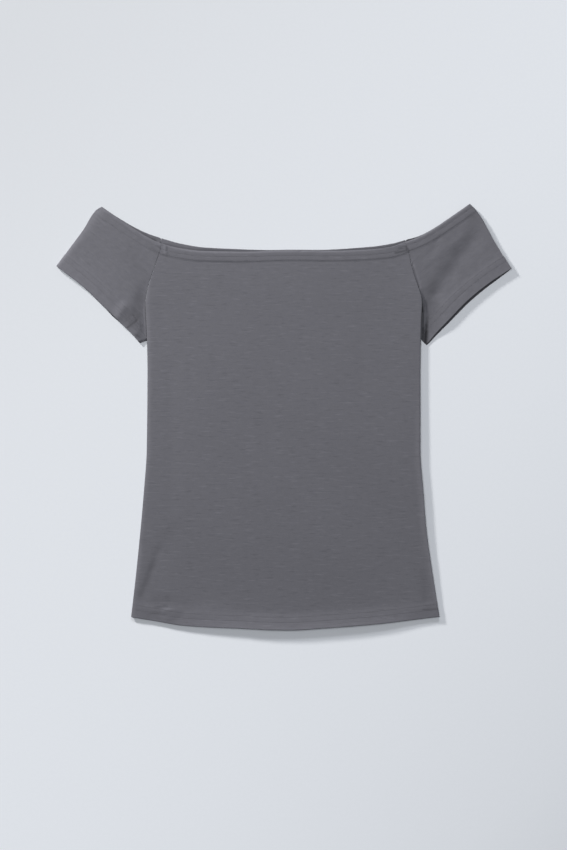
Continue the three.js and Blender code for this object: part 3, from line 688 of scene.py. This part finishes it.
PAINTED_EDGE_LIGHT, PAINTED_EDGE_LIGHT_REACH = 0.11, 16  # painted light: how much brighter the cloth is painted near a cuff or the bottom edge, and how far in
NECK_ROWS, CUFF_ROWS, HEM_ROWS = 17, 22, 21  # how far in from an edge the close rows reach
UNDER_STEPS, FOLD_STEPS = 6, 8  # rows on the turned-under part, and round the fold
EDGE_STEPS, BACK_EDGE_STEPS = (30, 30), (12, 6)  # close rows at neckline and bottom or cuff
RING_STEPS = {"underarm": 6, "front": 130, "fold": 17, "back": 60}
EDGE_ROW = UNDER_STEPS + FOLD_STEPS // 2  # the row on the edge itself
EDGE_SHARE = 0.4  # most of a short sleeve's length that either edge's close rows take
UNDER_LEAST, UNDER_SHARE = 1.25, 0.7  # what a short sleeve leaves of the part turned under


def turn_edge(cloth, radius=FOLD_RADIUS):
    """Follows the cloth round a turned edge: distance in from it, and depth below the outside.

    Cloth is 0 at the edge itself, above 0 on the outside and below 0 on the turned-under part.
    """
    angle = np.minimum(np.abs(cloth), QUARTER_TURN) / FOLD_RADIUS
    distance = radius * (1 - np.cos(angle)) + np.maximum(np.abs(cloth) - QUARTER_TURN, 0)
    return distance, radius * (1 - np.sign(cloth) * np.sin(angle))


def edge_rows(outside, under, steps_outside):
    """Rows across a turned edge, from the raw edge inside, round the fold and onto the outside."""
    rows = [np.linspace(-under, -QUARTER_TURN, UNDER_STEPS, endpoint=False)]
    rows.append(np.linspace(-QUARTER_TURN, QUARTER_TURN, FOLD_STEPS, endpoint=False))
    rows.append(np.linspace(QUARTER_TURN, outside, steps_outside))
    return np.concatenate(rows)


def shortened(cloth, outside, under, length, full):
    """Draws a turned edge's rows together where a sleeve is short for them, but not its fold."""
    limit_outside, limit_under = EDGE_SHARE * length, UNDER_LEAST + UNDER_SHARE * length * full
    beyond = np.maximum(np.abs(cloth) - QUARTER_TURN, 0)
    outer = (np.minimum(outside, limit_outside) - QUARTER_TURN) / (outside - QUARTER_TURN)
    inner = (np.minimum(under, limit_under) - QUARTER_TURN) / (under - QUARTER_TURN)
    kept = np.minimum(np.abs(cloth), QUARTER_TURN)
    return np.sign(cloth) * (kept + beyond * np.where(cloth > 0, outer, inner))


def grid_indices(bm, columns, rows):
    """The column and row of each vertex of a new grid."""
    place = np.array([vert.co[:2] for vert in bm.verts])
    low, high = place.min(0), place.max(0)
    column, row = ((place - low) / (high - low) * (columns - 1, rows - 1)).T
    return np.rint(column).astype(int), np.rint(row).astype(int)


def cloth_piece(name, points, fabric, tone, outside_first, ring=False):
    """A thin shell through a grid of points. Its map called cloth lays out wales and courses."""
    columns, rows = points.shape[:2]
    bm = bmesh.new()
    bmesh.ops.create_grid(bm, x_segments=columns - 1, y_segments=rows - 1, size=0.5)
    column, row = grid_indices(bm, columns, rows)
    places = (points[column, row] - MIDDLE) * MM
    layout = fabric[column, row] * MM
    cloth_map = bm.loops.layers.uv.new("cloth")
    # tone holds painted light and shade: a change of brightness at each point
    tone_layer = bm.verts.layers.float.new("tone")
    for vert, place, change in zip(bm.verts, places, tone[column, row]):
        vert.co = place
        vert[tone_layer] = change
    bm.verts.index_update()
    for face in bm.faces:
        for loop in face.loops:
            loop[cloth_map].uv = layout[loop.vert.index]
    if ring:
        bmesh.ops.remove_doubles(bm, verts=bm.verts, dist=1e-6)
    if not outside_first:
        bmesh.ops.reverse_faces(bm, faces=bm.faces)
    for face in bm.faces:
        face.smooth = True
    mesh = bpy.data.meshes.new(name)
    bm.to_mesh(mesh)
    bm.free()
    piece = placed(name, mesh)
    wall = piece.modifiers.new("cloth_thickness", "SOLIDIFY")
    wall.thickness = CLOTH * MM
    wall.offset = -1
    return piece


def along_cloth(points):
    """How far each point lies along its row, measured over the cloth."""
    steps = np.linalg.norm(np.diff(points, axis=0), axis=-1)
    return np.concatenate([np.zeros((1, points.shape[1])), np.cumsum(steps, 0)])


def body_panel(name, surface, across, middle_rows, is_front):
    neck_steps, hem_steps = EDGE_STEPS if is_front else BACK_EDGE_STEPS
    neck = edge_rows(NECK_ROWS, NECK_HEM, neck_steps)
    hem = edge_rows(HEM_ROWS, BODY_HEM, hem_steps)[::-1]
    middle = np.linspace(0, 1, middle_rows + 2)[1:-1]
    a, neck_cloth = np.meshgrid(across, neck, indexing="ij")
    length = body_length(a)
    distance, depth = turn_edge(neck_cloth)
    parts = [surface(a, distance / length, depth)]
    a, share = np.meshgrid(across, middle, indexing="ij")
    length = body_length(a)
    parts.append(surface(a, mix(NECK_ROWS, length - HEM_ROWS, share) / length, 0 * a))
    a, hem_cloth = np.meshgrid(across, hem, indexing="ij")
    length = body_length(a)
    distance, depth = turn_edge(hem_cloth)
    parts.append(surface(a, 1 - distance / length, depth))
    points = np.concatenate(parts, 1)
    u = along_cloth(points)
    x, y = points[..., 0], points[..., 1]
    fabric = np.stack([u - u.mean(0), y], -1)
    # Painted light near the bottom edge, and on the front painted shade in folds and painted
    # highlights on rims
    tone = PAINTED_EDGE_LIGHT * np.exp(-np.abs(y - hem_y(x)) / PAINTED_EDGE_LIGHT_REACH)
    if is_front:
        tone = tone + creases_at(BODY_PAINTED_SHADE, x, y, np.minimum)
        tone = tone + creases_at(PAINTED_HIGHLIGHTS, x, y, np.maximum)
    return cloth_piece(name, points, fabric, tone, outside_first=not is_front)


def across_body(roll_steps, near_steps, middle):
    """Steps across a body panel: round one roll, close together beside it, and on to the other."""
    near = mix(ROLL_SHARE, ROLL_SHARE + NEAR_SHARE, np.linspace(0, 1, near_steps))
    half = np.concatenate([np.linspace(0, ROLL_SHARE, roll_steps)[:-1], near])
    centre = np.linspace(half[-1], 1 - half[-1], middle)[1:-1]
    return np.concatenate([half, centre, 1 - half[::-1]])


def sleeve_piece(name, sleeve, creases, middle_rows=18):
    surface, plan = sleeve_surface(sleeve, creases)
    under = np.linspace(0, ROUND["underarm"], RING_STEPS["underarm"])[:-1]
    front = np.linspace(ROUND["underarm"], ROUND["front"], RING_STEPS["front"])
    fold = np.linspace(ROUND["front"], ROUND["fold"], RING_STEPS["fold"])[1:-1]
    back = np.linspace(ROUND["fold"], ROUND["back"], RING_STEPS["back"])
    end = np.linspace(ROUND["back"], 1, RING_STEPS["underarm"])[1:]
    turns = np.concatenate([under, front, fold, back, end])
    turns[-1] = 0  # the ring closes on itself
    start_rows = edge_rows(NECK_ROWS, SLEEVE_NECK_HEM, EDGE_STEPS[0])
    cuff_rows = edge_rows(CUFF_ROWS, CUFF_HEM, EDGE_STEPS[1])[::-1]
    middle = np.linspace(0, 1, middle_rows + 2)[1:-1]

    def length_at(turn, v):
        w, is_back = round_to_width(sleeve, turn, v)
        return plan(w, v, is_back)[2], smooth(w / UNDERARM_FADE)

    t, cloth = np.meshgrid(turns, start_rows, indexing="ij")
    length, full = length_at(t, 0 * t)
    cloth = shortened(cloth, NECK_ROWS, SLEEVE_NECK_HEM, length, full)
    distance, depth = turn_edge(cloth, SLEEVE_NECK_ROUND)
    parts = [surface(t, distance / length, depth)]
    t, share = np.meshgrid(turns, middle, indexing="ij")
    length, _ = length_at(t, 0.5 + 0 * t)
    first = np.minimum(NECK_ROWS, EDGE_SHARE * length)
    last = length - np.minimum(CUFF_ROWS, EDGE_SHARE * length)
    parts.append(surface(t, mix(first, last, share) / length, 0 * t))
    t, cloth = np.meshgrid(turns, cuff_rows, indexing="ij")
    length, full = length_at(t, 1 + 0 * t)
    cloth = shortened(cloth, CUFF_ROWS, CUFF_HEM, length, full)
    distance, depth = turn_edge(cloth, CUFF_ROUND)
    parts.append(surface(t, 1 - distance / length, depth))
    points = np.concatenate(parts, 1)
    x, y = points[..., 0], points[..., 1]
    from_cuff = np.linalg.norm(points[..., :2] - points[:, [-1 - EDGE_ROW], :2], axis=-1)
    inside = (turns > 0.5)[:, None]
    # Painted shade in deep folds and inside the sleeve, and painted light near the cuff
    deep = creases_at(RIGHT_PAINTED_SHADE if sleeve["outward"] > 0 else LEFT_PAINTED_SHADE, x, y, np.minimum)
    mouth = creases_at(sleeve["mouth"], x, y) - sleeve["inside_painted_shade"]
    tone = np.where(inside, mouth, PAINTED_EDGE_LIGHT * np.exp(-from_cuff / PAINTED_EDGE_LIGHT_REACH) + deep)
    (cuff_x, cuff_y), (corner_x, corner_y) = sleeve["cuff"][0], sleeve["cuff"][-1]
    size = math.hypot(corner_x - cuff_x, corner_y - cuff_y)
    across = np.array([-(corner_y - cuff_y), corner_x - cuff_x]) / size
    fabric = np.stack([along_cloth(points), points[..., :2] @ across], -1)
    piece = cloth_piece(name, points, fabric, tone, outside_first=sleeve["outward"] < 0, ring=True)
    return piece, surface, plan


# Sewing

STITCH = 2.7  # length of one stitch
THREAD = 0.14  # radius of the thread
STITCH_SHARES = np.array([0.0, 0.16, 0.5, 0.84])  # points along one stitch
STITCH_RISES = np.array([-0.30, 0.10, 0.16, 0.10])  # and how far each lies above the cloth
BODY_SEWN = (0.085, 0.915)  # from where to where across the stitches show
SLEEVE_SEWN = {False: (0.055, 0.5), True: (0.945, 0.5)}  # round the ring, on the front and back
NECK_SEWN_FROM, NECK_SEWN_LAST = 0.45, 0.3  # shares across and along between which neck rows run
TRIAL = 0.05  # share along, to measure the distance to the neckline
CUFF_SPARE = 2.5  # least length of sleeve beyond a cuff's row


def stitch_row(runs, outward):
    """Thread along each run of points on the cloth, over each stitch and down between them."""
    threads = []
    for line in runs:
        lengths = np.concatenate([[0], np.cumsum(np.linalg.norm(np.diff(line, axis=0), axis=1))])
        count = max(1, int(round(lengths[-1] / STITCH)))
        at = (np.arange(count)[:, None] + STITCH_SHARES).ravel() / count * lengths[-1]
        rise = np.tile(STITCH_RISES, count) * outward
        points = np.stack([np.interp(at, lengths, line[:, k]) for k in range(3)], 1)
        points[:, 2] += rise
        threads.append(points)
    return threads


def thread_piece(name, threads, material):
    data = bpy.data.curves.new(name, "CURVE")
    data.dimensions = "3D"
    data.bevel_depth = THREAD * MM
    data.bevel_resolution = 1
    data.use_fill_caps = True
    for points in threads:
        spline = data.splines.new("POLY")
        spline.points.add(len(points) - 1)
        for target, point in zip(spline.points, (points - MIDDLE) * MM):
            target.co = (*point, 1)
    drawn = placed(name + "_path", data)
    depsgraph = bpy.context.evaluated_depsgraph_get()
    mesh = bpy.data.meshes.new_from_object(drawn.evaluated_get(depsgraph))
    bpy.data.objects.remove(drawn)
    mesh.name = name
    mesh.materials.clear()
    mesh.materials.append(material)
    for polygon in mesh.polygons:
        polygon.use_smooth = True
    piece = placed(name, mesh)
    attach(piece, "root")
    return piece


def body_rows(surface, distances, at_neck):
    """Lines along the panel's surface at distances from its neckline or its bottom edge."""
    a = np.linspace(*BODY_SEWN, 900)
    length = body_length(a)
    lines = []
    for distance in distances:
        v = distance / length if at_neck else 1 - distance / length
        lines.append(surface(a, v, 0 * a))
    return lines


def sleeve_rows(sleeve, surface, plan, distances, at_neck, back):
    """Lines along one layer of a sleeve at distances from its neckline or its cuff."""
    turns = np.linspace(*SLEEVE_SEWN[back], 700)
    lines = []
    for distance in distances:
        w, is_back = round_to_width(sleeve, turns, (0.0 if at_neck else 1.0) + 0 * turns)
        if at_neck:
            start = below_neckline(*plan(w, 0 * w, is_back)[:2])
            ahead = below_neckline(*plan(w, TRIAL + 0 * w, is_back)[:2])
            share = (distance - start) * TRIAL / np.maximum(ahead - start, 1e-3)
            keep = (w > NECK_SEWN_FROM) & (share > 0) & (share < NECK_SEWN_LAST)
        else:
            length = plan(w, 0.5 + 0 * w, is_back)[2]
            share, keep = 1 - distance / length, length > distance + CUFF_SPARE
        lines.append(surface(turns[keep], share[keep], 0 * share[keep]))
    return lines


# Finishes


class Nodes:
    """A short hand for wiring a material."""

    def __init__(self, name):
        self.material = bpy.data.materials.new(name)
        self.material.use_nodes = True
        self.tree = self.material.node_tree
        self.shader = self.tree.nodes["Principled BSDF"]

    def plug(self, socket, value):
        if isinstance(value, bpy.types.NodeSocket):
            self.tree.links.new(value, socket)
        else:
            socket.default_value = value

    def add(self, kind, output=0, inputs=None, **settings):
        node = self.tree.nodes.new(kind)
        for key, value in settings.items():
            setattr(node, key, value)
        for key, value in (inputs or {}).items():
            self.plug(node.inputs[key], value)
        return node.outputs[output]

    def finish(self, values):
        for name, value in values.items():
            self.plug(self.shader.inputs[name], value)
        return self.material

    def math(self, operation, *values):
        return self.add("ShaderNodeMath", inputs=dict(enumerate(values)), operation=operation)

    def times(self, a, b):
        return self.math("MULTIPLY", a, b)

    def plus(self, a, b):
        return self.math("ADD", a, b)

    def noise(self, vector, scale=1.0, detail=2.0):
        settings = {"Vector": vector, "Scale": scale, "Detail": detail}
        return self.add("ShaderNodeTexNoise", inputs=settings)

    def vector_math(self, operation, vector, other):
        inputs = {0: vector, 1: other}
        return self.add("ShaderNodeVectorMath", inputs=inputs, operation=operation)

    def shade(self, colour, tone):
        inputs = {0: colour, "Scale": tone}
        return self.add("ShaderNodeVectorMath", inputs=inputs, operation="SCALE")

    def stretch(self, vector, x, y):
        return self.vector_math("MULTIPLY", vector, (x, y, 1))

    def ramp(self, value, low, high, out_low=0.0, out_high=1.0):
        settings = {"Value": value, "From Min": low, "From Max": high}
        settings.update({"To Min": out_low, "To Max": out_high})
        return self.add("ShaderNodeMapRange", inputs=settings)


WALE, COURSE = 0.00085, 0.00062  # one column and one row of knit loops, in metres
JERSEY_GREY = (0.1312, 0.1302, 0.1486)
BACK_PAINTED_SHADE = 0.92  # painted shade: the back's cloth is painted this share of the front's brightness
THREAD_GREY = (0.112, 0.111, 0.125)
FLOOR_WHITE = (0.738, 0.762, 0.806)
FLOOR_REACH = (0.55, 0.62, 1)  # metres from the middle over which the floor's tone changes


def slub_jersey(name, grey, slub=0.15, mottle=0.02):
    """Fine slub jersey: knit loops, uneven yarn in short streaks along the courses, soft bloom."""
    n = Nodes(name)
    cloth = n.add("ShaderNodeUVMap", uv_map="cloth")
    split = n.add("ShaderNodeSeparateXYZ", inputs={0: cloth})
    across, down = split, split.node.outputs[1]
    wale = n.math("DIVIDE", across, WALE)
    course = n.math("DIVIDE", down, COURSE)
    leg = n.math("ABSOLUTE", n.math("SUBTRACT", n.math("FRACT", wale), 0.5))
    slanted = n.plus(course, n.times(leg, 1.1))
    loop = n.math("SINE", n.times(leg, 2 * math.pi))
    rows = n.math("COSINE", n.times(slanted, 2 * math.pi))
    loops = n.plus(n.times(loop, 0.6), n.times(rows, 0.4))

    thick_yarn = n.ramp(n.noise(n.stretch(cloth, 56, 420), detail=1.5), 0.57, 0.75)
    thin_yarn = n.ramp(n.noise(n.stretch(cloth, 66, 450), scale=1.07, detail=1.5), 0.57, 0.75)
    fibre = n.noise(n.stretch(cloth, 420, 1500), detail=3.0)
    wear = n.noise(n.stretch(cloth, 9, 12))
    patches = n.noise(n.stretch(cloth, 150, 170))
    tone = n.plus(1.0, n.times(thick_yarn, slub))
    tone = n.math("SUBTRACT", tone, n.times(thin_yarn, slub))
    for grain, change in ((fibre, 0.05), (wear, 0.02), (patches, mottle)):
        tone = n.plus(tone, n.ramp(grain, 0.3, 0.7, -change, change))
    tone = n.plus(tone, n.times(loops, 0.05))
    # Painted light and shade, read from each piece's tone attribute
    painted_light_and_shade = n.add("ShaderNodeAttribute", output=2, attribute_name="tone")
    tone = n.times(tone, n.plus(1.0, painted_light_and_shade))
    colour = n.shade(grey, tone)

    relief = n.plus(n.times(loops, 0.12), n.times(thick_yarn, 0.25))
    relief = n.plus(relief, n.times(fibre, 0.35))
    bump = n.add("ShaderNodeBump", inputs={"Strength": 0.5, "Distance": 0.00022, "Height": relief})
    gloss = {"Roughness": 0.93, "Specular IOR Level": 0.18}
    bloom = {"Sheen Weight": 0.10, "Sheen Roughness": 0.45}
    return n.finish({"Base Color": colour, "Normal": bump, **gloss, **bloom})


def sewing_thread(name, grey):
    """Twisted thread with a slight gloss."""
    n = Nodes(name)
    place = n.add("ShaderNodeTexCoord", output=3)
    twist = n.noise(place, scale=2600, detail=1.0)
    tone = n.ramp(twist, 0.3, 0.7, 0.86, 1.12)
    colour = n.shade(grey, tone)
    bump = n.add("ShaderNodeBump", inputs={"Strength": 0.4, "Distance": 0.00008, "Height": twist})
    gloss = {"Roughness": 0.6, "Specular IOR Level": 0.35}
    return n.finish({"Base Color": colour, "Normal": bump, **gloss})


def pale_floor(name):
    """A matt surface with painted light and shade, which evens out and shapes how the lights fall
    on it.
    """
    n = Nodes(name)
    place = n.add("ShaderNodeTexCoord", output=3)
    grain = n.noise(place, scale=260)
    tone = n.ramp(grain, 0.3, 0.7, 0.995, 1.005)
    middle = n.vector_math("MAXIMUM", place, tuple(-reach for reach in FLOOR_REACH))
    middle = n.vector_math("MINIMUM", middle, FLOOR_REACH)
    x = n.add("ShaderNodeSeparateXYZ", inputs={0: middle})
    y = x.node.outputs[1]
    to_key = n.plus(n.times(x, KEY_AWAY.x), n.times(y, KEY_AWAY.y))
    tone = n.times(tone, n.ramp(to_key, -0.55, 0.6, 1.18, 0.80))
    tilt = n.math("SUBTRACT", 0.15, n.times(x, 0.5))
    side = n.plus(1.02, n.times(x, 0.033))
    tone = n.times(tone, n.math("SUBTRACT", side, n.times(y, tilt)))
    far_left = n.math("SUBTRACT", y, n.times(x, 0.5))
    tone = n.times(tone, n.ramp(far_left, 0.2, 0.6, 1.0, 0.967))
    colour = n.shade(FLOOR_WHITE, tone)
    return n.finish({"Base Color": colour, "Roughness": 0.85, "Specular IOR Level": 0.1})


# Making the top, and the floor under it

jersey = slub_jersey("slub_jersey", JERSEY_GREY)
jersey_sleeve = slub_jersey("slub_jersey_sleeve", JERSEY_GREY, slub=0.08, mottle=0.045)
# A darker copy of the same jersey, its darkness painted shade
jersey_back = slub_jersey("slub_jersey_back", tuple(BACK_PAINTED_SHADE * c for c in JERSEY_GREY))
thread = sewing_thread("grey_thread", THREAD_GREY)

front_steps = across_body(roll_steps=9, near_steps=26, middle=96)
front = body_panel("front", front_surface, front_steps, middle_rows=130, is_front=True)
back_steps = across_body(roll_steps=7, near_steps=6, middle=60)
back = body_panel("back", back_surface, back_steps, middle_rows=60, is_front=False)
left, left_surface, left_plan = sleeve_piece("left_sleeve_cloth", LEFT_SLEEVE, LEFT_CREASES)
right, right_surface, right_plan = sleeve_piece("right_sleeve_cloth", RIGHT_SLEEVE, RIGHT_CREASES)
for piece, node, finish in (
    (front, "front_panel", jersey),
    (back, "back_panel", jersey_back),
    (left, "left_sleeve", jersey_sleeve),
    (right, "right_sleeve", jersey_sleeve),
):
    piece.data.materials.append(finish)
    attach(piece, "root")
    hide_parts(node)

for name, surface, outward in (("front", front_surface, 1), ("back", back_surface, -1)):
    rows = body_rows(surface, NECK_STITCHES, True) + body_rows(surface, HEM_STITCHES, False)
    thread_piece(name + "_sewing", stitch_row(rows, outward), thread)
for name, sleeve, surface, plan in (
    ("left", LEFT_SLEEVE, left_surface, left_plan),
    ("right", RIGHT_SLEEVE, right_surface, right_plan),
):
    threads = []
    for is_back, outward in ((False, 1), (True, -1)):
        for distances, at_neck in ((SLEEVE_NECK_STITCHES, True), (CUFF_STITCHES, False)):
            rows = sleeve_rows(sleeve, surface, plan, distances, at_neck, is_back)
            threads += stitch_row(rows, outward)
    thread_piece(name + "_sleeve_sewing", threads, thread)

# The light from beyond the neckline casts the body's shadow only.
blockers = bpy.data.collections.new("body_cloth")
blockers.objects.link(front)
blockers.objects.link(back)
top_light.light_linking.blocker_collection = blockers

FLOOR_SIZE, FLOOR_DROP = 6, 0.0003  # metres; the stitches underneath just clear the floor
bm = bmesh.new()
bmesh.ops.create_grid(bm, x_segments=1, y_segments=1, size=FLOOR_SIZE)
bmesh.ops.translate(bm, vec=(0, 0, -FLOOR_DROP), verts=bm.verts)
floor_mesh = bpy.data.meshes.new("floor")
bm.to_mesh(floor_mesh)
bm.free()
floor = placed("floor", floor_mesh)
floor_mesh.materials.append(pale_floor("pale_floor"))
floor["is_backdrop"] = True

boxes = {"cad": cad_box, "visual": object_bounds()}
{name: [list(corner) for corner in box] for name, box in boxes.items()}
